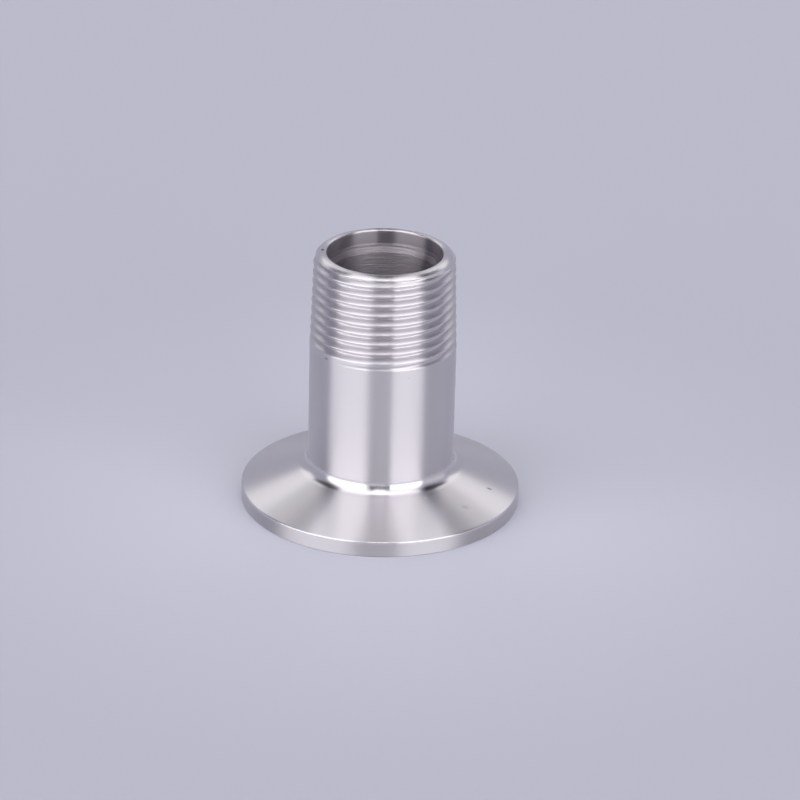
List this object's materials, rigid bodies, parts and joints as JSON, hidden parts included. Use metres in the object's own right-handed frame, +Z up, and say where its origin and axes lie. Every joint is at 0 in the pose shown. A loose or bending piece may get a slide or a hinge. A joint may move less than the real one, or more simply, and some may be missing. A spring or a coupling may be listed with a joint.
{
  "type": "sanitary clamp threaded adapter",
  "caption": "Short turned stainless tube with a round clamp flange at the foot, a gasket groove under it and a male taper pipe thread at the other end, bored right through.",
  "frame": {"origin": "centre of the flange's flat underside, on the bore's axis", "axes": "+Z up the axis from the clamp flange to the threaded end; X and Y lie in the flange's underside, and the thread's last groove dies out 148 degrees clockwise from +X, seen from above"},
  "size_m": [0.0505, 0.0504, 0.048],
  "materials": {
    "turned_stainless": "turned stainless steel, satin on the tube and the flange, with bright thread flanks"
  },
  "bodies": {
    "root": {"threaded_ferrule": "turned_stainless"}
  },
  "joints": []
}
